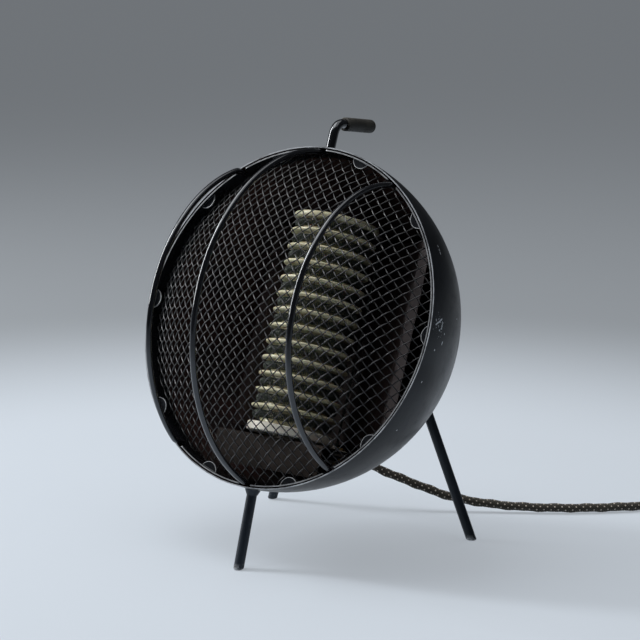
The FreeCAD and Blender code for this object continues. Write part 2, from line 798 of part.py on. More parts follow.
def eyelet_lead(points, bends, radius, side, level):
    """A bent wire that runs into its eyelet."""
    centre = V(side * post_spread, post_behind, level + eyelet_wall / 2)
    way = (centre - points[-1]).normalize()
    end = centre - way * (eyelet_radius - eyelet_lap)
    edges = bent_path(points + [end], bends)
    wire = swept(edges, faceted_section(radius, lead_sides, points[0], (points[1] - points[0]).normalize()))
    bore = Part.makeCylinder(post_radius + fit_gap, 2 * overrun, centre - V(0, 0, overrun))
    return on_element(wire.fuse(eyelet(side, level)).cut(bore))


def coil_lead(side):
    """The lead from one end of the coil, down behind the core and under the plate to its post."""
    start, way = coil_end(side)
    corner = start + way * lead_reach_share * bowl_radius
    drop = V(corner.x, corner.y, first_eyelet + eyelet_wall / 2)
    return eyelet_lead([start, corner, drop], [lead_bend, lead_bend], lead_radius, -side, first_eyelet)


def supply_leads():
    """The cord's two cores inside the bowl, from the bushing to the posts."""
    to_element = element_frame.inverse().multiply(bowl_frame.inverse())
    inner = bowl_radius - bowl_wall - bushing_inside
    leads = []
    for side in (-1, 1):
        start = on_bushing(Part.Vertex(V(side * supply_split, 0, inner))).Point
        ahead = on_bushing(Part.Vertex(V(side * supply_split, 0, inner - supply_start))).Point
        start, ahead = to_element.multVec(start), to_element.multVec(ahead)
        level = second_eyelet + eyelet_wall / 2
        drop = V(ahead.x, supply_turn_share * bowl_radius - element_depth, level)
        leads.append(eyelet_lead([start, ahead, drop], [supply_bend, supply_bend], supply_radius,
                                 side, second_eyelet))
    return Part.makeCompound(leads)


def cord_bushing():
    """A rubber bushing snapped into the bowl: a flange on each side and a tapered sleeve outside."""
    sink = bowl_radius - bowl_wall - math.sqrt((bowl_radius - bowl_wall) ** 2 - bushing_flange ** 2)
    inside = bowl_radius - bowl_wall - sink - fit_gap
    outside = bowl_radius + fit_gap
    bushing = revolved(outline([
        V(0, 0, bowl_radius - bowl_wall - bushing_inside),
        V(bushing_tip, 0, bowl_radius - bowl_wall - bushing_inside),
        V(bushing_flange, 0, inside - bushing_flange_wall), V(bushing_flange, 0, inside),
        V(bushing_neck, 0, inside), V(bushing_neck, 0, outside),
        V(bushing_flange, 0, outside), V(bushing_flange, 0, outside + bushing_flange_wall),
        V(bushing_tip, 0, bowl_radius + bushing_sleeve), V(0, 0, bowl_radius + bushing_sleeve)]))
    return on_bushing(bushing)


cord_exit = ball_centre + bushing_axis * (bowl_radius + bushing_sleeve)
cord_points = [cord_exit, cord_exit + bushing_axis * cord_first_run]
cord_points += [V(*place) for place in cord_route]


def power_cord():
    """The free cord, from the bushing to the coil: straight runs joined by arcs as large as they allow."""
    radii = []
    for before, corner, after in zip(cord_points, cord_points[1:], cord_points[2:]):
        half_turn = (corner - before).getAngle(after - corner) / 2
        shorter = min((corner - before).Length, (after - corner).Length)
        radii.append(cord_arc_share * shorter / math.tan(half_turn))
    edges = bent_path(cord_points, radii)
    start_way = (cord_points[1] - cord_points[0]).normalize()
    section = faceted_section(cord_radius, cord_sides, cord_points[0], start_way)
    cord = swept(edges, section)
    length = sum(edge.Length for edge in edges)
    expected = Part.Face(section).Area * length
    print("cord radii", [round(radius) for radius in radii], "length", round(length))
    print("cord volume against section times length", round(cord.Volume / expected, 4))
    return cord


coil_entry = cord_points[-1]
coil_entry_way = (cord_points[-1] - cord_points[-2]).normalize()
coil_entry_way = V(coil_entry_way.x, coil_entry_way.y, 0).normalize()
coil_turns = 2 * coil_layer_turns
coil_pitch = 2 * cord_radius + coil_turn_gap
coil_outer = coil_mean_radius + coil_pitch * coil_layer_turns / 2
coil_centre = coil_entry + V(coil_entry_way.y, -coil_entry_way.x, 0) * coil_outer
upper_layer = coil_entry.z + coil_pitch


def laid_coil(turn):
    """A place on the cord's coil: it spirals in, climbs a layer while it reverses and spirals out again."""
    middle = coil_layer_turns
    radius = coil_outer - coil_pitch * (middle - abs(turn - middle))
    climb = min(max(2 * (turn - middle) + 0.5, 0), 1)
    height = coil_entry.z + coil_pitch * climb ** 2 * (3 - 2 * climb)
    out = (coil_entry - coil_centre).normalize()
    angle = math.atan2(out.y, out.x) - 2 * math.pi * turn
    return V(coil_centre.x + radius * math.cos(angle), coil_centre.y + radius * math.sin(angle), height)


def laid_way(turn):
    """The coil's direction at a turn, taken from two places close before and after it."""
    step = 1 / 360
    return (laid_coil(turn + step) - laid_coil(turn - step)).normalize()


def coil_stations():
    """Places and directions along the coil, a quarter turn apart, starting in line with the cord."""
    quarters = round(4 * coil_turns)
    turns = [coil_turns * k / quarters for k in range(quarters + 1)]
    stations = [(laid_coil(turn), laid_way(turn)) for turn in turns[1:-1]]
    out = (laid_coil(coil_turns) - coil_centre)
    last_way = V(out.y, -out.x, 0).normalize()
    return [(coil_entry, coil_entry_way)] + stations + [(laid_coil(coil_turns), last_way)]


def cord_coil():
    """The rest of the cord, laid in a coil of two layers, with a straight tail into the plug."""
    stations = coil_stations()
    tail = 2 * cord_radius
    first, first_way = stations[0]
    last, last_way = stations[-1]
    lead_in = first + first_way * tail
    shifted = [(place + first_way * tail, way) for place, way in stations]
    edges = [line(first, lead_in)] + wound_path(shifted)
    end = last + first_way * tail
    edges.append(line(end, end + last_way * plug_tail))
    coil = swept(edges, faceted_section(cord_radius, cord_sides, first, first_way))
    steps = round(80 * coil_turns)
    print_gap("cord coil", lambda share: laid_coil(share * coil_turns), steps, 40, 2 * cord_radius)
    print("coil length", round(sum(edge.Length for edge in edges)))
    return coil


def plug_frame():
    """The plug's frame: Z along the cord's tail, from the tail's end."""
    stations = coil_stations()
    last, last_way = stations[-1]
    end = last + stations[0][1] * 2 * cord_radius + last_way * plug_tail
    across = V(-last_way.y, last_way.x, 0)
    turn = FreeCAD.Rotation(across, V(0, 0, 1), last_way, "ZXY")
    return FreeCAD.Placement(end, turn)


def plug_body():
    """A moulded plug that lies on the table, its cord at the height of the coil's upper layer."""
    half = upper_layer
    body = Part.makeBox(2 * plug_half_width, 2 * half, plug_length, V(-plug_half_width, -half, 0))
    long_edges = [edge for edge in body.Edges if edge.BoundBox.ZLength > plug_length / 2]
    body = body.makeFillet(plug_round, long_edges)
    body.Placement = plug_frame()
    return body


def plug_blades():
    """Two flat brass blades on the plug's front."""
    blade = Part.makeBox(blade_wall, blade_width, blade_length, V(-blade_wall / 2, -blade_width / 2, plug_length))
    pair = Part.makeCompound([moved(blade, V(side * blade_spread, 0, 0)) for side in (-1, 1)])
    pair.Placement = plug_frame()
    return pair


os.makedirs("parts", exist_ok=True)
save(bowl_shell(), "bowl_shell")
save(retaining_ring(), "retaining_ring")
save(mesh_guard(), "mesh_guard")
save(guard_rod(-rod_spread, left_rise_share, left_bend_depth), "guard_rod_left")
save(guard_rod(0, middle_rise_share, middle_bend_depth), "guard_rod_middle")
save(guard_rod(rod_spread, right_rise_share, right_bend_depth), "guard_rod_right")
save(front_leg(), "front_leg")
save(rear_leg(-1), "rear_leg_left")
save(rear_leg(1), "rear_leg_right")
save(handle_rod(), "handle_rod")
save(handle_grip(), "handle_grip")
save(ceramic_core(), "ceramic_core")
save(heating_coil(), "heating_coil")
save(element_washers(), "element_washers")
save(element_bracket(), "element_bracket")
save(tie_rod(), "tie_rod")
save(tie_nuts(), "tie_nuts")
save(reflector(), "reflector")
save(centre_spacer(), "centre_spacer")
save(centre_bolt(), "centre_bolt")
save(centre_nut(), "centre_nut")
save(terminal_plate(), "terminal_plate")
save(terminal_insulators(), "terminal_insulators")
save(terminal_posts(), "terminal_posts")
save(terminal_nuts(), "terminal_nuts")
save(coil_lead(1), "coil_lead_lower")
save(coil_lead(-1), "coil_lead_upper")
save(supply_leads(), "supply_leads")
save(cord_bushing(), "cord_bushing")
save(power_cord(), "power_cord")
save(cord_coil(), "cord_coil")
save(plug_body(), "plug_body")
save(plug_blades(), "plug_blades")
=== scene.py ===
import math

import bpy
import numpy as np
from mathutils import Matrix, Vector


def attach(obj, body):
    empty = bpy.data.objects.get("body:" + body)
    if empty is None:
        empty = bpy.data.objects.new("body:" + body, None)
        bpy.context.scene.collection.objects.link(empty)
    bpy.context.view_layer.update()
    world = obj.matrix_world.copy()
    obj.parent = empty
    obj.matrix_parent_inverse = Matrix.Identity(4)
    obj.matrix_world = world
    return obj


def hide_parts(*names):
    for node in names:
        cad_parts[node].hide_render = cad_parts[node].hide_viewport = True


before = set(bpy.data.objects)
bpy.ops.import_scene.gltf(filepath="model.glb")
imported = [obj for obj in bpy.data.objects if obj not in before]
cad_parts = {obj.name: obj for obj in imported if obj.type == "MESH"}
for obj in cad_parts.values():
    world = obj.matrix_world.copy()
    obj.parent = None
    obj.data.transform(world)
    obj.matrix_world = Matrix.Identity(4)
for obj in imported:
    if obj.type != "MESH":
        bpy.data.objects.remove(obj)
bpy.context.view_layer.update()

# The viewing place: a long lens a little above the heater's top, a tenth of a turn to the right of its open
# face, looking slightly down on it.
camera = bpy.data.objects.new("camera", bpy.data.cameras.new("camera"))
bpy.context.scene.collection.objects.link(camera)
camera_turn, camera_rise = math.radians(36.78), math.radians(10.47)
focal_length, picture_width = 1900, 640
to_camera = Vector((math.sin(camera_turn) * math.cos(camera_rise),
                    -math.cos(camera_turn) * math.cos(camera_rise), math.sin(camera_rise)))
camera.location = (0.9277, -1.2062, 0.4732)
camera.rotation_mode = "QUATERNION"
camera.rotation_quaternion = (-to_camera).to_track_quat("-Z", "Y")
camera.data.sensor_width = 36.0
camera.data.lens = camera.data.sensor_width * focal_length / picture_width
camera.data.clip_end = 120.0
bpy.context.scene.camera = camera
bpy.context.scene.view_settings.view_transform = "Standard"


# The bowl is spun from sheet steel and sprayed with black enamel outside. Handling has chipped it on the
# right and bared its cut edge, whose pale line is also a painted highlight; inside, years of heat have turned the paint
# to a dull red-brown.
def finish(name):
    """A new material, its surface shader, and a function that adds one node. That function sets the
    node's settings, joins the inputs that are sockets, fills the others and gives back an output."""
    material = bpy.data.materials.new(name)
    material.use_nodes = True
    tree = material.node_tree

    def add(kind, inputs=None, out=0, **settings):
        made = tree.nodes.new("ShaderNode" + kind)
        for key, value in settings.items():
            setattr(made, key, value)
        for key, value in (inputs or {}).items():
            if isinstance(value, bpy.types.NodeSocket):
                tree.links.new(value, made.inputs[key])
            else:
                made.inputs[key].default_value = value
        return made.outputs[out]

    shader = tree.nodes["Principled BSDF"]
    return material, shader, add, tree.links.new


def steps(add, value, low, high, to_low=0.0, to_high=1.0):
    """A value taken from one range to another on a smooth step, and held at both ends."""
    return add("MapRange", {"Value": value, "From Min": low, "From Max": high, "To Min": to_low,
                            "To Max": to_high}, interpolation_type="SMOOTHSTEP")


def mixed(add, share, first, second):
    """Two colours mixed by a share."""
    return add("Mix", {0: share, 6: first, 7: second}, out=2, data_type="RGBA")


def sums(add, operation, first, second):
    """One step of arithmetic on two values."""
    return add("Math", {0: first, 1: second}, operation=operation)


def noise(add, place, scale, detail=3.0, roughness=0.55):
    """Noise at a scale given in waves to the metre."""
    return add("TexNoise", {"Vector": place, "Scale": scale, "Detail": detail, "Roughness": roughness})


rim_centre = Vector((0.0, -0.01603, 0.1984))
lean = math.radians(21.3)
outward = Vector((0.0, -math.cos(lean), math.sin(lean)))
upward = Vector((0.0, math.sin(lean), math.cos(lean)))


def from_rim(add, place, way):
    """How far a place lies from the rim's centre along one direction."""
    offset = add("VectorMath", {0: place, 1: rim_centre}, operation="SUBTRACT")
    return add("VectorMath", {0: offset, 1: way}, out=1, operation="DOT_PRODUCT")


def black_enamel(name, colour, dull, gloss, coat, shine, wear_and_highlight, bare, metal, baked=None):
    """Black enamel: mottled colour under specks of dust, roughness between gloss and dull by a slow noise, an
    orange-peel bump, a clear coat and a slightly blue shine. The bare colour shows where the share of wear and
    painted highlight, a function of the place, goes to one, and a dull red-brown film where the baked share does."""
    material, shader, add, link = finish(name)
    place = add("TexCoord", out=3)
    slow = noise(add, place, 22.0, 4.0)
    fine = noise(add, place, 420.0, 2.0)
    dust = noise(add, place, 130.0, 6.0, 0.7)
    base = mixed(add, steps(add, slow, 0.35, 0.7), (*colour, 1), (*[c * 1.6 + 0.001 for c in colour], 1))
    base = mixed(add, steps(add, dust, 0.6, 0.85, 0.0, 0.18), base, (0.036, 0.04, 0.046, 1))
    rough = steps(add, slow, 0.3, 0.72, gloss, dull)
    rough = sums(add, "ADD", rough, steps(add, dust, 0.45, 0.75, 0.0, 0.08))
    if baked:
        share = baked(add, place)
        film = mixed(add, steps(add, slow, 0.36, 0.66), (0.014, 0.0078, 0.0072, 1), (0.036, 0.0148, 0.012, 1))
        base = mixed(add, share, base, film)
        rough = sums(add, "MAXIMUM", rough, sums(add, "MULTIPLY", share, 0.72))
    # This share carries wear, and on the bowl and the ring also painted edge highlights.
    share = wear_and_highlight(add, place)
    base = mixed(add, share, base, (*bare, 1))
    rough = sums(add, "ADD", sums(add, "MULTIPLY", rough, sums(add, "SUBTRACT", 1.0, share)),
                 sums(add, "MULTIPLY", share, 0.4))
    link(sums(add, "MULTIPLY", share, metal), shader.inputs["Metallic"])
    height = sums(add, "ADD", sums(add, "MULTIPLY", fine, 0.4), sums(add, "MULTIPLY", slow, 0.6))
    bump = add("Bump", {"Height": height, "Strength": 0.12, "Distance": 0.0006})
    link(base, shader.inputs["Base Color"])
    link(rough, shader.inputs["Roughness"])
    link(bump, shader.inputs["Normal"])
    shader.inputs["Specular IOR Level"].default_value = shine
    shader.inputs["Specular Tint"].default_value = (0.86, 0.96, 1.08, 1)
    shader.inputs["Coat Weight"].default_value = coat
    shader.inputs["Coat Roughness"].default_value = 0.1
    return material


def dress(material, *names):
    """Gives CAD pieces a material in all their slots."""
    for name in names:
        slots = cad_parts[name].data.materials
        slots.clear()
        slots.append(material)


# Each chip has a start, an end and a half width, in metres.
bowl_chips = (((0.1414, -0.0053, 0.2084), (0.1414, -0.0053, 0.2084), 0.0006),
              ((0.1407, 0.0035, 0.2076), (0.1416, -0.0058, 0.2051), 0.0004),
              ((0.1408, 0.0046, 0.2045), (0.1412, 0.0022, 0.2002), 0.0005),
              ((0.1415, -0.0011, 0.1996), (0.1415, -0.0011, 0.1996), 0.0005),
              ((0.1406, 0.0077, 0.1952), (0.1406, 0.0077, 0.1952), 0.0006),
              ((0.1408, 0.0047, 0.1894), (0.1410, 0.0035, 0.1880), 0.0005),
              ((0.1414, -0.0072, 0.1853), (0.1414, -0.0072, 0.1853), 0.0006),
              ((0.1332, 0.0367, 0.2020), (0.1332, 0.0367, 0.2020), 0.0005),
              ((0.1206, 0.0272, 0.2607), (0.1241, 0.0266, 0.2540), 0.0003),
              ((0.1202, -0.0267, 0.1227), (0.1202, -0.0267, 0.1227), 0.0004),
              ((0.1374, -0.0184, 0.1615), (0.1374, -0.0184, 0.1615), 0.0004))


def chip(add, place, start, end, half_width):
    """One where a place lies within a chip: its least distance to the line from start to end, made ragged by
    noise, is under the half width."""
    line = Vector(end) - Vector(start)
    offset = add("VectorMath", {0: place, 1: start}, operation="SUBTRACT")
    if line.length > 0:
        along = add("VectorMath", {0: offset, 1: line / line.length_squared}, out=1, operation="DOT_PRODUCT")
        held = add("Clamp", {"Value": along})
        nearest = add("VectorMath", {0: line, 3: held}, operation="SCALE")
        offset = add("VectorMath", {0: offset, 1: nearest}, operation="SUBTRACT")
    distance = add("VectorMath", {0: offset}, out=1, operation="LENGTH")
    ragged = sums(add, "ADD", distance, steps(add, noise(add, place, 900.0, 3.0), 0.3, 0.7, -0.0004, 0.0004))
    return steps(add, ragged, half_width - 0.0001, half_width + 0.0003, 0.95, 0.0)


knock_place = (0.1412, -0.0008, 0.2035)
ball_centre = rim_centre - outward * 0.004
inner_skin, outer_skin = 0.14123, 0.14143


def bowl_wear_and_edge_highlight(add, place):
    """Bare steel on the cut edge, its share drifting with noise, whose pale line is also a painted highlight; the
    chips of the right side, flakes about the place of a knock, fewer further from it, and a few specks."""
    ahead = from_rim(add, place, outward)
    patches = noise(add, place, 60.0, 4.0, 0.6)
    # Painted highlight and wear: the pale line on the rim's cut edge.
    wear_and_highlight = sums(add, "MULTIPLY", steps(add, ahead, -0.0004, -0.0001), steps(add, patches, 0.3, 0.6, 0.15, 0.5))
    for start, end, half_width in bowl_chips:
        wear_and_highlight = sums(add, "MAXIMUM", wear_and_highlight, chip(add, place, start, end, half_width))
    specks = steps(add, noise(add, place, 95.0, 7.0, 0.72), 0.75, 0.775, 0.0, 0.7)
    knock = add("VectorMath", {0: place, 1: knock_place}, out=1, operation="DISTANCE")
    flaked = sums(add, "MULTIPLY", steps(add, knock, 0.004, 0.013, 1.0, 0.0),
                  steps(add, noise(add, place, 620.0, 3.0, 0.6), 0.63, 0.67))
    return sums(add, "MAXIMUM", sums(add, "MAXIMUM", wear_and_highlight, flaked), specks)


def bowl_inside(add, place):
    """One on the bowl's inner face: the distance from the ball's centre is under the radius in mid sheet."""
    distance = add("VectorMath", {0: place, 1: ball_centre}, out=1, operation="DISTANCE")
    return steps(add, distance, inner_skin, outer_skin, 1.0, 0.0)


dress(black_enamel("bowl_enamel", (0.006, 0.0074, 0.0097), dull=0.38, gloss=0.28, coat=0.0, shine=0.2, wear_and_highlight=bowl_wear_and_edge_highlight,
                   bare=(0.66, 0.7, 0.75), metal=0.1, baked=bowl_inside), "bowl_shell")


# The C-shaped strap, its tie rod and the bolt, spacer and nuts that hold the element to the bowl's pole
# are plain mild steel, dulled and browned by years of heat.
def heated_steel(name, pale, dark, rough, metal, shine):
    """Steel with drifting heat colours, streaks and a fine grain in its roughness and bump."""
    material, shader, add, link = finish(name)
    place = add("TexCoord", out=3)
    drift = noise(add, place, 28.0, 5.0, 0.6)
    grain = noise(add, add("Mapping", {"Vector": place, "Scale": (260, 260, 30)}), 1.0, 3.0)
    link(mixed(add, steps(add, drift, 0.35, 0.68), (*pale, 1), (*dark, 1)), shader.inputs["Base Color"])
    link(steps(add, grain, 0.3, 0.7, rough - 0.1, rough + 0.12), shader.inputs["Roughness"])
    link(add("Bump", {"Height": grain, "Strength": 0.25, "Distance": 0.0003}), shader.inputs["Normal"])
    shader.inputs["Metallic"].default_value = metal
    shader.inputs["Specular IOR Level"].default_value = shine
    return material


dress(heated_steel("bracket_steel", pale=(0.26, 0.235, 0.21), dark=(0.1, 0.08, 0.07), rough=0.42, metal=0.9, shine=0.5),
      "element_bracket", "tie_rod", "tie_nuts", "centre_spacer", "centre_bolt", "centre_nut")

# The reflector is a trough of sheet steel behind the element. It was bright once and is now dark and
# sooty, a little red from heat; its right-hand flange is painted paler, as painted light from the lamps on the left.
# Where the painted light on the right-hand flange begins and is full, and how ragged its edge is.
painted_light_start, painted_light_full, painted_light_ragged = 0.064, 0.073, 0.005


def sooty_steel_with_painted_light():
    """Steel under soot: two dark browns by a slow noise, and painted light on the right-hand flange, paler to the right
    of a ragged line.
    """
    material, shader, add, link = finish("reflector_steel")
    place = add("TexCoord", out=3)
    drift = noise(add, place, 30.0, 5.0, 0.6)
    grain = noise(add, add("Mapping", {"Vector": place, "Scale": (300, 40, 40)}), 1.0, 3.0)
    beside = add("SeparateXYZ", {0: place})
    stray = steps(add, noise(add, place, 150.0, 4.0, 0.6), 0.3, 0.7, -painted_light_ragged, painted_light_ragged)
    ragged = sums(add, "ADD", beside, stray)
    base = mixed(add, steps(add, drift, 0.35, 0.68), (0.036, 0.021, 0.019, 1), (0.019, 0.0115, 0.0105, 1))
    # Painted light: the right-hand flange, which faces the light from the left, is painted paler.
    paler = steps(add, ragged, painted_light_start, painted_light_full, 0.0, 0.9)
    link(mixed(add, paler, base, (0.185, 0.16, 0.162, 1)), shader.inputs["Base Color"])
    link(steps(add, grain, 0.3, 0.7, 0.46, 0.64), shader.inputs["Roughness"])
    link(add("Bump", {"Height": grain, "Strength": 0.2, "Distance": 0.0003}), shader.inputs["Normal"])
    shader.inputs["Metallic"].default_value = 0.35
    return material


dress(sooty_steel_with_painted_light(), "reflector")

# The terminal plate is a folded sheet under the element, with its apron turned down in front. Its paint
# has gone a dull brown-grey.
dress(heated_steel("plate_steel", pale=(0.027, 0.0205, 0.0175), dark=(0.017, 0.0125, 0.0105), rough=0.75, metal=0.0,
                   shine=0.15), "terminal_plate")


# The element's core is a column of cream glazed ceramic with rounded fins and a plain base, slotted down its
# back. Heat has stained it in patches and crazed the glaze; the terminals' insulators are the same ceramic.
def glazed_ceramic(name, clean, stained):
    """Cream glaze: brown stains by noise, whiter on the base, brown specks, a net of fine craze lines and a soft
    gloss that stains dull."""
    material, shader, add, link = finish(name)
    place = add("TexCoord", out=3)
    stain = noise(add, place, 45.0, 6.0, 0.62)
    speck = noise(add, place, 380.0, 2.0)
    net = add("TexVoronoi", {"Vector": place, "Scale": 210.0}, feature="DISTANCE_TO_EDGE")
    crack = steps(add, net, 0.0, 0.035, 1.0, 0.0)
    base = mixed(add, steps(add, stain, 0.42, 0.78), (*clean, 1), (*stained, 1))
    on_base = steps(add, from_rim(add, place, upward), band_low, band_high, 0.85, 0.0)
    base = mixed(add, on_base, base, (0.82, 0.79, 0.71, 1))
    base = mixed(add, steps(add, speck, 0.66, 0.74, 0.0, 0.5), base, (0.3, 0.22, 0.13, 1))
    base = mixed(add, sums(add, "MULTIPLY", crack, 0.22), base, (0.4, 0.33, 0.22, 1))
    link(base, shader.inputs["Base Color"])
    link(steps(add, stain, 0.35, 0.75, 0.22, 0.5), shader.inputs["Roughness"])
    height = sums(add, "SUBTRACT", sums(add, "MULTIPLY", stain, 0.5), sums(add, "MULTIPLY", crack, 0.2))
    link(add("Bump", {"Height": height, "Strength": 0.2, "Distance": 0.0005}), shader.inputs["Normal"])
    shader.inputs["Subsurface Weight"].default_value = 0.05
    shader.inputs["Subsurface Scale"].default_value = 0.002
    return material


element_axis = rim_centre - outward * 0.045085
core_radius, fin_radius, core_bore = 0.02678, 0.03598, 0.004
fin_pitch, fin_count, fin_half, top_fin_half = 0.01349, 13, 0.0017, 0.0026
base_bottom, base_top, base_round = -0.09352, -0.08652, 0.0006
band_low, band_high = -0.087, -0.086
fin_fullness, fin_flatness, fin_points = 0.34, 0.7, 11
slot_columns, other_columns, slot_wall = 13, 84, 0.002
slot_half_angle, slot_top = 0.3697, base_top + (fin_count - 0.5) * fin_pitch


def fin_edge(level, half):
    """A fin's outline: the radius follows a rounded square over its thickness, from the core and back."""
    turn = np.linspace(-np.pi / 2, np.pi / 2, fin_points)
    reach = (fin_radius - core_radius) * np.cos(turn) ** fin_fullness
    rise = half * np.sign(turn) * np.abs(np.sin(turn)) ** fin_flatness
    return np.stack([core_radius + reach, level + rise], -1)


def finned_core():
    """The lathed surface: an outline of radius and level, closed through the bore, is carried round the axis.
    Round the back, below the slot's top, the radius is held to the core's own."""
    base = [[core_bore, base_bottom],
            [fin_radius - base_round, base_bottom], [fin_radius, base_bottom + base_round],
            [fin_radius, base_top - base_round], [fin_radius - base_round, base_top],
            [core_radius + 0.0001, base_top]]
    fins = [fin_edge(base_top + k * fin_pitch, top_fin_half if k == fin_count else fin_half)
            for k in range(1, fin_count + 1)]
    top = [[core_bore, fins[-1][-1, 1]]]
    fins[-1] = fins[-1][:-1]
    shape = np.concatenate([base, *fins, top])
    in_slot = np.linspace(-slot_half_angle, slot_half_angle, slot_columns)
    beyond = np.linspace(slot_half_angle + slot_wall, 2 * np.pi - slot_half_angle - slot_wall, other_columns)
    angle = np.concatenate([in_slot, beyond])
    radius = np.repeat(shape[:, :1], len(angle), axis=1)
    low = shape[:, 1] < slot_top
    radius[np.ix_(low, np.arange(len(in_slot)))] = np.minimum(shape[low, :1], core_radius)
    radial = np.sin(angle)[:, None] * np.array([1.0, 0, 0]) - np.cos(angle)[:, None] * np.array(outward)
    level = shape[:, 1][:, None, None] * np.array(upward)
    return np.array(element_axis) + radius[:, :, None] * radial[None] + level


def placed(name, mesh, material):
    """One piece from a mesh: smooth, in its material, at the origin and on the root body."""
    mesh.polygons.foreach_set("use_smooth", np.ones(len(mesh.polygons), bool))
    mesh.materials.append(material)
    piece = bpy.data.objects.new(name, mesh)
    bpy.context.scene.collection.objects.link(piece)
    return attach(piece, "root")


def lathed_piece(name, grid, material, crease):
    """One piece from a grid of points that closes in both directions, creased where its faces turn sharply."""
    rows, columns = grid.shape[:2]
    row, column = np.meshgrid(np.arange(rows), np.arange(columns), indexing="ij")
    after_row, after_column = (row + 1) % rows, (column + 1) % columns
    quads = np.stack([row * columns + column, after_row * columns + column, after_row * columns + after_column,
                      row * columns + after_column], -1).reshape(-1, 4)
    mesh = bpy.data.meshes.new(name)
    mesh.from_pydata(grid.reshape(-1, 3), [], quads.tolist())
    piece = placed(name, mesh, material)
    mesh.set_sharp_from_angle(angle=crease)
    return piece


cream_glaze = glazed_ceramic("cream_glaze", clean=(0.77, 0.73, 0.51), stained=(0.51, 0.465, 0.275))
core_piece = lathed_piece("finned_core", finned_core(), cream_glaze, crease=math.radians(42))
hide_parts("ceramic_core")
dress(cream_glaze, "terminal_insulators")


# Two washers punched from pressed mica lie between the core's ends and the strap, and keep the clamp from
# cracking the ceramic.
def pressed_mica():
    """Flaky golden-brown mica: cells of slightly different colours with a silky gloss."""
    material, shader, add, link = finish("pressed_mica")
    place = add("TexCoord", out=3)
    flake = add("TexVoronoi", {"Vector": place, "Scale": 420.0}, out=1)
    tone = add("SeparateColor", {"Color": flake})
    link(mixed(add, tone, (0.5, 0.41, 0.27, 1), (0.66, 0.58, 0.43, 1)), shader.inputs["Base Color"])
    link(steps(add, tone, 0.0, 1.0, 0.3, 0.55), shader.inputs["Roughness"])
    link(add("Bump", {"Height": tone, "Strength": 0.15, "Distance": 0.0002}), shader.inputs["Normal"])
    return material


dress(pressed_mica(), "element_washers")

# The heating coil is resistance wire curled into a long spring and wound into the core's grooves,
# one turn to a groove, climbing to the next groove in the slot at the back. It has gone grey-green.
groove_radius = 0.03048
first_groove = base_top + fin_pitch / 2
climb_half_turn = 20 / 360
curl_radius, curl_pitch, curl_points = 0.0030, 0.0017, 10
wire_radius, wire_sides = 0.00042, 4


def tube(path, side_way, radius, sides):
    """Rings of points round a path: the side way, made square to the path, and its cross product with the
    path's direction carry a circle of the radius at each place."""
    along = np.gradient(path, axis=0)
    along /= np.linalg.norm(along, axis=1, keepdims=True)
    side = side_way - along * np.sum(side_way * along, axis=1, keepdims=True)
    side /= np.linalg.norm(side, axis=1, keepdims=True)
    other = np.cross(along, side)
    angle = np.linspace(0, 2 * np.pi, sides, endpoint=False)
    circle = np.cos(angle)[None, :, None] * side[:, None, :] + np.sin(angle)[None, :, None] * other[:, None, :]
    return path[:, None, :] + np.asarray(radius).reshape(-1, 1, 1) * circle


def tubes_piece(name, grids, material):
    """One piece of closed tubes: neighbouring rings are joined by quads, both ends get a flat cap, and the UV
    map has the share of the way round and the metres along."""
    sides = grids[0].shape[1]
    column = np.arange(sides)
    after = np.roll(column, -1)
    quads, rounds, lengths, caps, start = [], [], [], [], 0
    for grid in grids:
        ring = start + sides * np.arange(len(grid) - 1)[:, None]
        quads.append(np.stack([ring + column, ring + after, ring + sides + after, ring + sides + column], -1))
        step = np.linalg.norm(np.diff(grid.mean(axis=1), axis=0), axis=1)
        metres = np.concatenate([[0], np.cumsum(step)])
        near, far = metres[:-1, None], metres[1:, None]
        lengths.append(np.stack(np.broadcast_arrays(near, near, far, far + 0 * column), -1))
        shares = np.stack([column, column + 1, column + 1, column], -1) / sides
        rounds.append(np.broadcast_to(shares, lengths[-1].shape))
        caps += [start + column[::-1], start + sides * (len(grid) - 1) + column]
        start += grid.shape[0] * sides
    mesh = bpy.data.meshes.new(name)
    faces = np.concatenate([q.reshape(-1, 4) for q in quads]).tolist() + [cap.tolist() for cap in caps]
    mesh.from_pydata(np.concatenate([grid.reshape(-1, 3) for grid in grids]), [], faces)
    across = np.concatenate([r.reshape(-1) for r in rounds] + [np.zeros(sides * len(caps))])
    along = np.concatenate([m.reshape(-1) for m in lengths] + [np.zeros(sides * len(caps))])
    mesh.uv_layers.new(name="wound").data.foreach_set("uv", np.stack([across, along], -1).ravel())
    return placed(name, mesh, material)


def oxidised_wire():
    """Resistance wire: grey-green oxide in darker and paler bands, with rubbed grey specks."""
    material, shader, add, link = finish("oxidised_wire")
    place = add("TexCoord", out=3)
    band = noise(add, place, 90.0, 4.0)
    grain = noise(add, place, 900.0, 2.0)
    base = mixed(add, steps(add, band, 0.35, 0.68), (0.021, 0.029, 0.025, 1), (0.062, 0.076, 0.064, 1))
    speck = noise(add, place, 420.0, 2.0)
    base = mixed(add, steps(add, speck, 0.57, 0.7, 0.0, 0.7), base, (0.27, 0.29, 0.25, 1))
    link(base, shader.inputs["Base Color"])
    link(steps(add, grain, 0.3, 0.7, 0.42, 0.64), shader.inputs["Roughness"])
    link(add("Bump", {"Height": grain, "Strength": 0.2, "Distance": 0.0001}), shader.inputs["Normal"])
    shader.inputs["Metallic"].default_value = 0.5
    return material


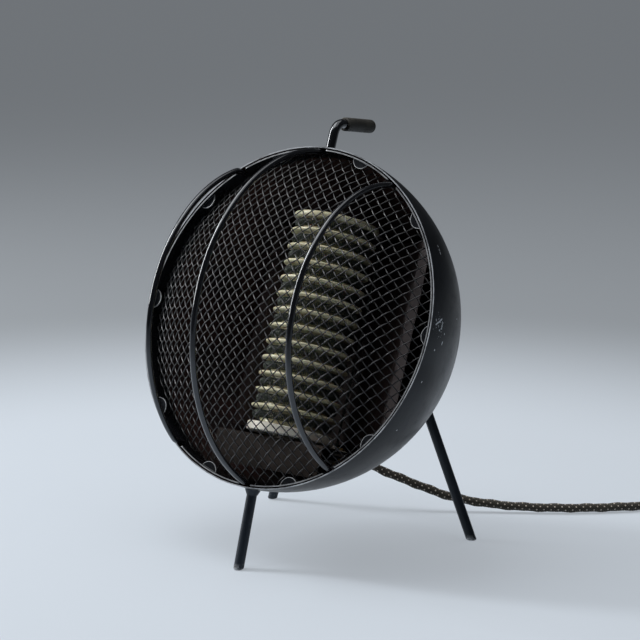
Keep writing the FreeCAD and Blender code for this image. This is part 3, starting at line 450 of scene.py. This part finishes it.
def curled_wire():
    """The wire's middle line and its way out from the spring's: the turns about the core are counted from the
    slot; the level rises by one groove on a smooth step about each whole turn; round that line the wire curls at
    a steady pitch."""
    turns = np.linspace(climb_half_turn, fin_count - climb_half_turn,
                        int(fin_count * 2 * np.pi * groove_radius / curl_pitch * curl_points))
    whole = np.round(turns)
    rise = np.clip((turns - whole + climb_half_turn) / (2 * climb_half_turn), 0, 1)
    level = first_groove + fin_pitch * (whole - 1 + rise ** 2 * (3 - 2 * rise))
    angle = 2 * np.pi * turns
    curl = 2 * np.pi * np.arange(len(turns)) / curl_points
    back, across = -np.array(outward), np.array([1.0, 0.0, 0.0])
    radial = np.sin(angle)[:, None] * across + np.cos(angle)[:, None] * back
    middle = np.array(element_axis) + groove_radius * radial + level[:, None] * np.array(upward)
    out = np.cos(curl)[:, None] * radial + np.sin(curl)[:, None] * np.array(upward)
    return middle + curl_radius * out, out


wire_line, wire_out = curled_wire()
spring_finish = oxidised_wire()
coil_piece = tubes_piece("heating_spring", [tube(wire_line, wire_out, wire_radius, wire_sides)], spring_finish)
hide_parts("heating_coil")
dress(spring_finish, "coil_lead_lower", "coil_lead_upper")


# Brass posts pass through the insulators, and brass nuts clamp the ends of the leads to them; the plug's
# blades are stamped from brass too.
def dull_brass():
    """Brass with patches of tarnish, darker, duller and a little raised."""
    material, shader, add, link = finish("dull_brass")
    place = add("TexCoord", out=3)
    tarnish = noise(add, place, 160.0, 5.0, 0.6)
    link(mixed(add, steps(add, tarnish, 0.4, 0.7), (0.6, 0.45, 0.2, 1), (0.3, 0.21, 0.1, 1)),
         shader.inputs["Base Color"])
    link(steps(add, tarnish, 0.35, 0.7, 0.22, 0.5), shader.inputs["Roughness"])
    link(add("Bump", {"Height": tarnish, "Strength": 0.1, "Distance": 0.0002}), shader.inputs["Normal"])
    shader.inputs["Metallic"].default_value = 1.0
    return material


dress(dull_brass(), "terminal_posts", "terminal_nuts", "plug_blades")


# The cord's two cores run from the bushing to the terminals in woven heat-proof sleeving, once off-white and
# now greyed by dust.
def woven_sleeving():
    """Off-white sleeving: crossed fine waves as threads, greyed by dust, with painted shade between the threads."""
    material, shader, add, link = finish("woven_sleeving")
    place = add("TexCoord", out=3)
    one = add("TexWave", {"Vector": place, "Scale": 260.0, "Distortion": 0.6}, bands_direction="DIAGONAL")
    turned = add("Mapping", {"Vector": place, "Rotation": (0, 0, math.pi / 2)})
    two = add("TexWave", {"Vector": turned, "Scale": 260.0, "Distortion": 0.6}, bands_direction="DIAGONAL")
    thread = sums(add, "MAXIMUM", one, two)
    dust = noise(add, place, 60.0, 4.0)
    base = mixed(add, steps(add, dust, 0.35, 0.7), (0.58, 0.54, 0.46, 1), (0.4, 0.36, 0.29, 1))
    # Painted shade: darker between the threads.
    link(mixed(add, steps(add, thread, 0.2, 0.9, 0.5, 0.0), base, (0.2, 0.18, 0.14, 1)), shader.inputs["Base Color"])
    link(add("Bump", {"Height": thread, "Strength": 0.5, "Distance": 0.0003}), shader.inputs["Normal"])
    shader.inputs["Roughness"].default_value = 0.85
    return material


dress(woven_sleeving(), "supply_leads")


# The mesh guard is woven from crimped round wire on the diagonal, pressed to a shallow dome and blackened;
# the crests of its waves are rubbed to grey, and that grey on the crests is also a painted highlight, with painted
# shade in the hollows.
mesh_reach, mesh_pitch, mesh_rise, mesh_depth = 0.1379, 0.0066, 0.044, 0.0115
mesh_wire, mesh_gap, mesh_crimp, mesh_sides, crossing_points = 0.0005, 0.00003, 0.93, 7, 8
dome_radius = (mesh_reach ** 2 + mesh_rise ** 2) / (2 * mesh_rise)


def crimped_wire(offset, parity, along_way, across_way):
    """One wire of the weave: it runs over the dome at a fixed offset, and its height above the dome is a wave
    with straight flanks, the arc sine of a cosine, with one half wave to each crossing, so it passes over and
    under the wires that cross it."""
    half = math.sqrt(mesh_reach ** 2 - offset ** 2)
    run = np.linspace(-half, half, max(crossing_points, int(2 * half / mesh_pitch * crossing_points)))
    dome = np.sqrt(dome_radius ** 2 - offset ** 2 - run ** 2) - dome_radius + mesh_rise - mesh_depth
    wave = parity * np.arcsin(mesh_crimp * np.cos(np.pi * run / mesh_pitch)) / math.asin(mesh_crimp)
    lift = dome + (mesh_wire + mesh_gap) * wave
    path = np.array(rim_centre) + run[:, None] * along_way + offset * across_way + lift[:, None] * np.array(outward)
    return tube(path, np.broadcast_to(across_way, path.shape), mesh_wire, mesh_sides), wave


def blackened_wire():
    """Blackened steel wire: grey in patches by a noise, as rubbed wear, and most on the crests that stand out of
    the dome, where the grey is also a painted highlight; the hollows stay darker as painted shade."""
    material, shader, add, link = finish("blackened_wire")
    place = add("TexCoord", out=3)
    crest = add("Attribute", {}, out=2, attribute_name="crest")
    rub = noise(add, place, 210.0, 5.0, 0.65)
    slow = noise(add, place, 24.0, 3.0)
    # Painted highlight and shade: the grey share is largest on the crests and least in the hollows, partly rubbed wear.
    share = sums(add, "MULTIPLY", steps(add, crest, -0.6, 0.8, 0.35, 1.0),
                 steps(add, rub, 0.34, 0.62, 0.5, 1.0))
    base = mixed(add, slow, (0.012, 0.0122, 0.0126, 1), (0.023, 0.0232, 0.0238, 1))
    # The grey colour stands partly for rubbed steel and partly for a painted highlight.
    link(mixed(add, share, base, (0.082, 0.084, 0.088, 1)), shader.inputs["Base Color"])
    link(steps(add, rub, 0.3, 0.7, 0.33, 0.46), shader.inputs["Roughness"])
    link(add("Bump", {"Height": rub, "Strength": 0.2, "Distance": 0.0002}), shader.inputs["Normal"])
    shader.inputs["Metallic"].default_value = 0.7
    return material


wire_finish = blackened_wire()
diagonals = [np.array(Vector((math.sqrt(0.5), 0, 0)) + upward * math.sqrt(0.5)),
             np.array(Vector((-math.sqrt(0.5), 0, 0)) + upward * math.sqrt(0.5))]
wire_count = int(mesh_reach / mesh_pitch)
for layer, name in ((0, "mesh_rising_wires"), (1, "mesh_falling_wires")):
    made = [crimped_wire(k * mesh_pitch, (-1) ** (k + layer), diagonals[layer], diagonals[1 - layer])
            for k in range(-wire_count, wire_count + 1)]
    woven = tubes_piece(name, [grid for grid, wave in made], wire_finish)
    crest = np.concatenate([np.repeat(wave, mesh_sides) for grid, wave in made])
    woven.data.attributes.new("crest", "FLOAT", "POINT").data.foreach_set("value", crest.astype(np.float32))
    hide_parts("mesh_guard")


# The retaining ring sits inside the lip and holds the mesh with half-round tabs. It is notched at the
# rod ends, painted black, and worn bright along its front edge and round its tabs; these bright lines are also painted
# highlights on the edges.
tab_radius, tab_centre_reach, tab_depth, tab_flank = 0.00833, 0.14113, 0.0033, 16.5
ring_inner, rod_end_beside, rod_end_reach = 0.1388, 0.07654, 0.1385
# Pale steel colour, for wear and, on the ring, also for painted edge highlights.
bare_steel = (0.44, 0.455, 0.475)
rod_end_angle = math.degrees(math.acos(rod_end_beside / rod_end_reach))
tab_angles = [0, 180] + [turn for angle in (rod_end_angle - tab_flank, rod_end_angle + tab_flank)
                         for turn in (angle, 180 - angle, 180 + angle, -angle)]


def ring_wear_and_edge_highlight(add, place):
    """Bare steel on the ring's front edge, on the outline of each tab, from the least distance to the tabs'
    centres, and faintly along the bend at each tab's root; these pale lines are partly wear and partly painted
    highlights."""
    ahead = from_rim(add, place, outward)
    offset = add("VectorMath", {0: place, 1: rim_centre}, operation="SUBTRACT")
    crossed = add("VectorMath", {0: offset, 1: outward}, operation="CROSS_PRODUCT")
    reach = add("VectorMath", {0: crossed}, out=1, operation="LENGTH")
    patches = noise(add, place, 90.0, 4.0, 0.6)
    nearest = 1.0
    for angle in tab_angles:
        turn = math.radians(angle)
        centre = rim_centre + (Vector((1, 0, 0)) * math.cos(turn) + upward * math.sin(turn)) * tab_centre_reach
        gap = add("VectorMath", {0: place, 1: centre - outward * tab_depth}, out=1, operation="DISTANCE")
        nearest = sums(add, "MINIMUM", nearest, gap)
    # Painted highlight and wear: a pale line round each tab's outline and along its root.
    outline = steps(add, nearest, tab_radius - 0.0006, tab_radius - 0.0002)
    root = steps(add, reach, ring_inner - 0.0007, ring_inner - 0.0003, 0.0, 0.45)
    on_tab = sums(add, "MULTIPLY", sums(add, "MAXIMUM", outline, root),
                  steps(add, reach, ring_inner - 0.0002, ring_inner - 0.00005, 1.0, 0.0))
    # Painted highlight and wear: a pale line along the ring's front edge.
    front = steps(add, ahead, -0.0010, -0.0006, 0.0, 0.6)
    return sums(add, "MULTIPLY", sums(add, "MAXIMUM", front, on_tab), steps(add, patches, 0.3, 0.58, 0.4, 0.95))


dress(black_enamel("ring_enamel", (0.005, 0.0056, 0.007), dull=0.3, gloss=0.22, coat=0.0, shine=0.12, wear_and_highlight=ring_wear_and_edge_highlight,
                   bare=bare_steel, metal=0.6), "retaining_ring")


# The three guard rods and the handle are round steel rod, cold bent and dipped in gloss black. The guard rods'
# ends sit in the ring's notches, and the handle is welded to the bowl.
def rod_wear(add, place):
    """Small bare nicks along the rods."""
    return steps(add, noise(add, place, 140.0, 6.0, 0.7), 0.75, 0.78)


dress(black_enamel("gloss_black", (0.0055, 0.006, 0.0078), dull=0.16, gloss=0.09, coat=0.75, shine=0.45, wear_and_highlight=rod_wear,
                   bare=bare_steel, metal=0.6), "guard_rod_left", "guard_rod_middle", "guard_rod_right", "handle_rod")


# The three legs are thicker rod, each welded to the bowl with a flared bead and sprayed black with it. Their
# feet are scuffed by the table.
def leg_wear(add, place):
    """Scuffs at the foot, up to about half a centimetre, and a few nicks higher up."""
    height = add("SeparateXYZ", {0: place}, out=2)
    patches = noise(add, place, 170.0, 6.0, 0.7)
    foot = sums(add, "MULTIPLY", steps(add, height, 0.006, 0.0), steps(add, patches, 0.46, 0.6))
    return sums(add, "MAXIMUM", foot, steps(add, patches, 0.75, 0.78))


dress(black_enamel("leg_enamel", (0.011, 0.0142, 0.019), dull=0.44, gloss=0.32, coat=0.1, shine=0.25, wear_and_highlight=leg_wear,
                   bare=bare_steel, metal=0.6), "front_leg", "rear_leg_left", "rear_leg_right")


# The grip is a rubber sleeve pushed over the end of the handle rod. It is matte, a dark brown-grey and a little
# dusty.
def matte_rubber(name, colour, scale):
    """Matte rubber: dark grey with paler bloom and a fine pebbled bump."""
    material, shader, add, link = finish(name)
    place = add("TexCoord", out=3)
    bloom = noise(add, place, 55.0, 5.0, 0.6)
    pebble = noise(add, place, scale, 3.0)
    link(mixed(add, steps(add, bloom, 0.4, 0.75), (*colour, 1), (*[c * 2.1 for c in colour], 1)),
         shader.inputs["Base Color"])
    link(steps(add, bloom, 0.3, 0.7, 0.62, 0.8), shader.inputs["Roughness"])
    link(add("Bump", {"Height": pebble, "Strength": 0.3, "Distance": 0.0003}), shader.inputs["Normal"])
    return material


dress(matte_rubber("grip_sleeve", (0.022, 0.021, 0.018), 600.0), "handle_grip")

# The cord leaves the bowl through a rubber bushing in the hole in its back, and ends in a plug moulded from the
# same black rubber.
dress(matte_rubber("moulded_rubber", (0.012, 0.012, 0.012), 420.0), "cord_bushing", "plug_body")

# The cord is a twisted pair under braided cloth, brown and olive with pale flecks. It drops from the bushing
# to the table, runs off behind the heater, and the rest lies in a flat coil of two layers with its plug.
cord_diameter, cord_lay, cord_sides, strands = 0.008, 0.028, 20, 12
cord_route = [(-0.03966, 0.09663, 0.09257), (-0.04525, 0.112, 0.07785), (-0.046, 0.1293, 0.0585),
              (-0.033, 0.1358, 0.0435), (-0.011, 0.1383, 0.0348), (0.020, 0.152, 0.0232),
              (0.0465, 0.168, 0.0118), (0.085, 0.192, 0.0056), (0.1271, 0.219, 0.0044),
              (0.1654, 0.253, 0.0042), (0.200, 0.2933, 0.0041), (0.229, 0.3203, 0.0041)]
coil_pitch, coil_layer_turns, coil_middle, coil_tail = 0.0086, 2.125, 0.048, 0.052
coil_outer = coil_middle + coil_pitch * coil_layer_turns / 2
entry_run = (0.029, 0.027)
entry_way = np.array(entry_run) / math.hypot(*entry_run)
coil_start = np.array(cord_route[-1][:2]) + entry_way * cord_diameter
coil_centre = coil_start + np.array([entry_way[1], -entry_way[0]]) * coil_outer
coil_step = 1 / 24


def laid_turns():
    """The coil's points: the radius shrinks by a pitch a turn to the middle and grows again, and the height
    climbs one pitch on a smooth step where the coil changes layer. The points stand on the polygon round the
    circle, so the line that they guide has the circle's radius."""
    turn = np.arange(coil_step / 2, 2 * coil_layer_turns, coil_step)
    radius = coil_outer - coil_pitch * (coil_layer_turns - np.abs(turn - coil_layer_turns))
    climb = np.clip(2 * (turn - coil_layer_turns) + 0.5, 0, 1)
    height = cord_route[-1][2] + coil_pitch * climb ** 2 * (3 - 2 * climb)
    out = coil_start - coil_centre
    angle = math.atan2(out[1], out[0]) - 2 * np.pi * turn
    reach = radius / math.cos(math.pi * coil_step)
    places = np.stack([coil_centre[0] + reach * np.cos(angle), coil_centre[1] + reach * np.sin(angle), height], -1)
    last = math.atan2(out[1], out[0]) - 4 * np.pi * coil_layer_turns
    end = [coil_centre[0] + coil_outer * math.cos(last) + coil_tail * math.sin(last),
           coil_centre[1] + coil_outer * math.sin(last) - coil_tail * math.cos(last), height[-1]]
    return np.concatenate([places, [end]])


control = np.concatenate([np.array(cord_route), laid_turns()])
route = bpy.data.curves.new("cord_route", "CURVE")
route.dimensions = "3D"
route.resolution_u = 12
spline = route.splines.new("NURBS")
spline.points.add(len(control) - 1)
spline.points.foreach_set("co", np.column_stack([control, np.ones(len(control))]).ravel())
spline.order_u = 3
spline.use_endpoint_u = True
route_object = bpy.data.objects.new("cord_route", route)
bpy.context.scene.collection.objects.link(route_object)
bpy.context.view_layer.update()
route_mesh = bpy.data.meshes.new_from_object(route_object.evaluated_get(bpy.context.evaluated_depsgraph_get()))
cord_line = np.empty(3 * len(route_mesh.vertices))
route_mesh.vertices.foreach_get("co", cord_line)
cord_line = cord_line.reshape(-1, 3)
bpy.data.objects.remove(route_object)


def braided_cloth():
    """A braid of crossed strands: two families of diagonals in the UV map take turns on top in a chequer; each
    strand is rounded, pale flecks stand where every third strand of one family meets one of the other, and the low
    parts between strands are painted dark as shade."""
    material, shader, add, link = finish("braided_cloth")
    slant = strands / (math.pi * cord_diameter)
    wound = add("TexCoord", out=2)
    around = sums(add, "MULTIPLY", add("SeparateXYZ", {0: wound}), strands)
    along = sums(add, "MULTIPLY", add("SeparateXYZ", {0: wound}, out=1), slant)
    place = add("TexCoord", out=3)
    one, two = sums(add, "ADD", around, along), sums(add, "SUBTRACT", around, along)
    over = sums(add, "FLOORED_MODULO", sums(add, "ADD", add("Math", {0: one}, operation="FLOOR"),
                                    add("Math", {0: two}, operation="FLOOR")), 2.0)

    def strand(value, lane):
        """The rounded height of a strand, and one where it is the one in three that has flecks."""
        part = add("Math", {0: value}, operation="FRACT")
        height = add("Math", {0: sums(add, "MULTIPLY", part, math.pi)}, operation="SINE")
        number = sums(add, "FLOORED_MODULO", add("Math", {0: value}, operation="FLOOR"), 3.0)
        return height, add("Math", {0: number, 1: lane, 2: 0.25}, operation="COMPARE")

    high_one, pale_one = strand(one, 1.0)
    high_two, pale_two = strand(two, 2.0)
    height = add("Mix", {0: over, 2: high_one, 3: high_two}, data_type="FLOAT")
    crown = sums(add, "MULTIPLY", high_one, high_two)
    pale = sums(add, "MULTIPLY", pale_one, pale_two)
    fuzz = noise(add, place, 700.0, 3.0)
    age = noise(add, place, 40.0, 4.0)
    base = mixed(add, steps(add, age, 0.35, 0.7), (0.024, 0.019, 0.011, 1), (0.042, 0.038, 0.021, 1))
    base = mixed(add, steps(add, fuzz, 0.5, 0.75, 0.0, 0.4), base, (0.075, 0.055, 0.032, 1))
    base = mixed(add, sums(add, "MULTIPLY", pale, steps(add, crown, 0.08, 0.35)), base, (0.8, 0.71, 0.6, 1))
    # Painted shade: the low parts between the strands are darkened nearly to black.
    link(mixed(add, steps(add, height, 0.1, 0.75, 0.75, 0.0), base, (0.012, 0.009, 0.006, 1)),
         shader.inputs["Base Color"])
    relief = sums(add, "ADD", height, sums(add, "MULTIPLY", fuzz, 0.25))
    link(add("Bump", {"Height": relief, "Strength": 0.8, "Distance": 0.0006}), shader.inputs["Normal"])
    shader.inputs["Roughness"].default_value = 0.82
    shader.inputs["Sheen Weight"].default_value = 0.25
    return material


def lumpy_cord():
    """The cord's surface: the tube's radius has one wave and two waves a turn, which wind along with the lay of
    the twisted pair."""
    metres = np.concatenate([[0], np.cumsum(np.linalg.norm(np.diff(cord_line, axis=0), axis=1))])
    grid = tube(cord_line, np.broadcast_to([0.0, 0.0, 1.0], cord_line.shape), 1.0, cord_sides)
    turn = np.linspace(0, 2 * np.pi, cord_sides, endpoint=False)
    lay = turn[None, :] - 2 * np.pi * metres[:, None] / cord_lay
    swell = 0.93 + 0.06 * np.cos(2 * lay) + 0.07 * np.cos(lay)
    return cord_line[:, None, :] + (grid - cord_line[:, None, :]) * (cord_diameter / 2 * swell)[:, :, None]


cord_piece = tubes_piece("braided_cord", [lumpy_cord()], braided_cloth())
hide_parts("power_cord", "cord_coil")

# The table is a wide pale board that greys with the distance, as a painted pool of light round the heater. One
# soft lamp hangs above the heater's left, a larger one above it all, and a tall narrow one stands further off on the
# left.
floor_reach = 60.0
floor_mesh = bpy.data.meshes.new("floor")
floor_mesh.from_pydata([(-floor_reach, -floor_reach, 0), (floor_reach, -floor_reach, 0),
                        (floor_reach, floor_reach, 0), (-floor_reach, floor_reach, 0)], [], [(0, 1, 2, 3)])
floor = bpy.data.objects.new("floor", floor_mesh)
bpy.context.scene.collection.objects.link(floor)
floor.location.z = -0.0005
# Where the painted pool of light begins to fade, and where it has turned grey.
pale_to, grey_from = 0.45, 1.15
glossy_ray, transmission_ray = 3, 6


def pale_board():
    """A pale board with a faint grain, which turns to grey on a smooth step of the distance from the origin, a painted
    pool of light round the heater. To the camera and to mirrored and clear rays half of it is a soft glow, which dims
    with the same distance, and the other half keeps the shadows."""
    material, shader, add, link = finish("pale_board")
    place = add("TexCoord", out=3)
    grain = noise(add, place, 6.0, 3.0)
    base = mixed(add, grain, (0.575, 0.645, 0.725, 1), (0.595, 0.66, 0.74, 1))
    shader.inputs["Roughness"].default_value = 0.6
    away = add("VectorMath", {0: place}, out=1, operation="LENGTH")
    # Painted light: pale near the heater and grey further off, a painted pool of light.
    link(mixed(add, steps(add, away, pale_to, grey_from), base, (0.34, 0.37, 0.4, 1)), shader.inputs["Base Color"])
    # The glow dims with the same distance, as part of the painted pool of light.
    strength = steps(add, away, pale_to, grey_from, 0.72, 0.34)
    glow = add("Emission", {"Color": (0.90, 0.97, 1.05, 1), "Strength": strength})
    seen = add("LightPath")
    for ray in (glossy_ray, transmission_ray):
        seen = sums(add, "MAXIMUM", seen, add("LightPath", out=ray))
    board = add("MixShader", {0: sums(add, "MULTIPLY", seen, 0.5), 1: shader.outputs[0], 2: glow})
    link(board, material.node_tree.nodes["Material Output"].inputs["Surface"])
    return material


floor_mesh.materials.append(pale_board())

lamp_target = Vector((0, 0, 0.18))
for name, place, width, height, watts in (("over", (-0.6, -0.4, 2.1), 1.4, 1.4, 19.0),
                                          ("ceiling", (0.1, 0.1, 2.7), 2.6, 2.6, 25.0),
                                          ("left", (-2.4, -0.9, 1.55), 0.5, 2.3, 84.0)):
    lamp = bpy.data.lights.new(name, "AREA")
    lamp.shape = "RECTANGLE"
    lamp.size, lamp.size_y, lamp.energy = width, height, watts
    hung = bpy.data.objects.new(name, lamp)
    hung.location = place
    hung.rotation_mode = "QUATERNION"
    hung.rotation_quaternion = (lamp_target - Vector(place)).to_track_quat("-Z", "Y")
    bpy.context.scene.collection.objects.link(hung)
world = bpy.data.worlds.new("room")
bpy.context.scene.world = world
world.use_nodes = True
room_light = world.node_tree.nodes["Background"]
room_light.inputs["Color"].default_value = (0.9, 0.94, 1.0, 1)
room_light.inputs["Strength"].default_value = 0.035
